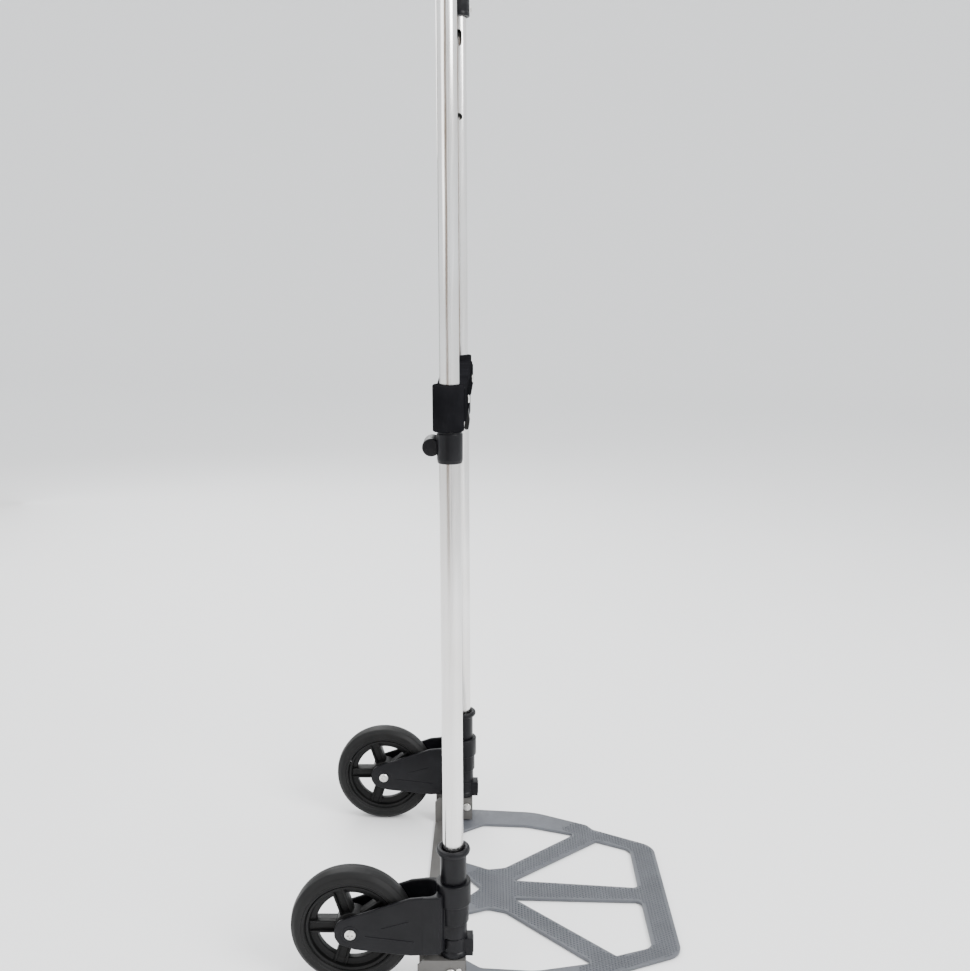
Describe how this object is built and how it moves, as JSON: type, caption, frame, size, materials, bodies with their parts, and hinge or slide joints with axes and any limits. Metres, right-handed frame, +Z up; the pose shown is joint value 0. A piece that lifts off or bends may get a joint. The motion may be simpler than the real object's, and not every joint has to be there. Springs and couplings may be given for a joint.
{
  "type": "hand truck",
  "caption": "Folding two-wheeled hand truck with a hinged spoked toe plate, swivelling wheel forks and a telescoping handle.",
  "frame": {"origin": "centre of the bounding box on the floor", "axes": "+Z up, -Y towards the tip of the toe plate, +X along the axles; the tubes lean back 2.4 degrees from +Z towards +Y"},
  "size_m": [0.388, 0.4118, 1.0454],
  "materials": {
    "bright_tube": "bright drawn aluminium",
    "plate_casting": "grey painted casting with fine raised dimples",
    "grey_paint": "satin grey paint",
    "steel": "zinc plated",
    "black_plastic": "satin moulded black",
    "rim_plastic": "matt moulded black",
    "tyre_rubber": "matt black",
    "grip_foam": "ribbed soft black"
  },
  "bodies": {
    "frame": {"base_frame": "grey_paint", "left_hinge_pin": "steel", "right_hinge_pin": "steel", "left_foot": "black_plastic", "right_foot": "black_plastic", "left_foot_rivet": "steel", "right_foot_rivet": "steel", "left_collar": "black_plastic", "right_collar": "black_plastic", "left_outer_tube": "bright_tube", "right_outer_tube": "bright_tube", "left_lower_clamp": "black_plastic", "right_lower_clamp": "black_plastic", "left_cord_post": "black_plastic", "right_cord_post": "black_plastic", "lock_housing": "black_plastic", "lock_cover": "black_plastic", "left_cover_screw": "steel", "right_cover_screw": "steel", "trigger_pin": "steel"},
    "toe": {"toe_plate": "plate_casting"},
    "left_wheel_fork": {"left_fork": "black_plastic", "left_axle_bolt": "steel", "left_axle_nut": "steel"},
    "right_wheel_fork": {"right_fork": "black_plastic", "right_axle_bolt": "steel", "right_axle_nut": "steel"},
    "left_wheel": {"left_tyre": "tyre_rubber", "left_wheel_rim": "rim_plastic", "left_wheel_bush": "steel"},
    "right_wheel": {"right_tyre": "tyre_rubber", "right_wheel_rim": "rim_plastic", "right_wheel_bush": "steel"},
    "handle": {"left_inner_tube": "bright_tube", "right_inner_tube": "bright_tube", "left_guide_bush": "rim_plastic", "right_guide_bush": "rim_plastic", "left_handle_elbow": "black_plastic", "right_handle_elbow": "black_plastic", "left_elbow_screw": "steel", "right_elbow_screw": "steel", "crossbar": "bright_tube", "grip": "grip_foam"},
    "trigger": {"release_trigger": "rim_plastic"},
    "left_lock": {"left_lock_pin": "steel"},
    "right_lock": {"right_lock_pin": "steel"}
  },
  "joints": [
    {"name": "toe_plate_fold", "type": "hinge", "parent": "frame", "child": "toe", "pos_m": [0, 0.03359, 0.024], "axis": [-1, 0, 0], "range_deg": [0, 92.4]},
    {"name": "left_fork_swivel", "type": "hinge", "parent": "frame", "child": "left_wheel_fork", "pos_m": [-0.1715, 0.03809, 0.00436], "axis": [0, -0.0419, -0.9991], "range_deg": [0, 90]},
    {"name": "right_fork_swivel", "type": "hinge", "parent": "frame", "child": "right_wheel_fork", "pos_m": [0.1715, 0.03809, 0.00436], "axis": [0, 0.0419, 0.9991], "range_deg": [0, 90]},
    {"name": "left_wheel_spin", "type": "hinge", "parent": "left_wheel_fork", "child": "left_wheel", "pos_m": [-0.1715, 0.14341, 0.0625], "axis": [1, 0, 0], "continuous": true},
    {"name": "right_wheel_spin", "type": "hinge", "parent": "right_wheel_fork", "child": "right_wheel", "pos_m": [0.1715, 0.14341, 0.0625], "axis": [1, 0, 0], "continuous": true},
    {"name": "handle_slide", "type": "slide", "parent": "frame", "child": "handle", "axis": [0, -0.0419, -0.9991], "range_m": [0, 0.386]},
    {"name": "trigger_squeeze", "type": "hinge", "parent": "frame", "child": "trigger", "pos_m": [0, 0.0536, 0.59423], "axis": [1, 0, 0], "range_deg": [0, 18], "stiffness_Nm_per_rad": 0.05},
    {"name": "left_lock_draw", "type": "slide", "parent": "frame", "child": "left_lock", "axis": [1, 0, 0], "range_m": [0, 0.0045]},
    {"name": "right_lock_draw", "type": "slide", "parent": "frame", "child": "right_lock", "axis": [-1, 0, 0], "range_m": [0, 0.0045]}
  ],
  "couplings": [
    {"joint": "left_fork_swivel", "follows": "toe_plate_fold", "ratio": 0.974},
    {"joint": "right_fork_swivel", "follows": "toe_plate_fold", "ratio": 0.974},
    {"joint": "left_lock_draw", "follows": "trigger_squeeze", "m_per_rad": 0.0127},
    {"joint": "right_lock_draw", "follows": "trigger_squeeze", "m_per_rad": 0.0127}
  ]
}
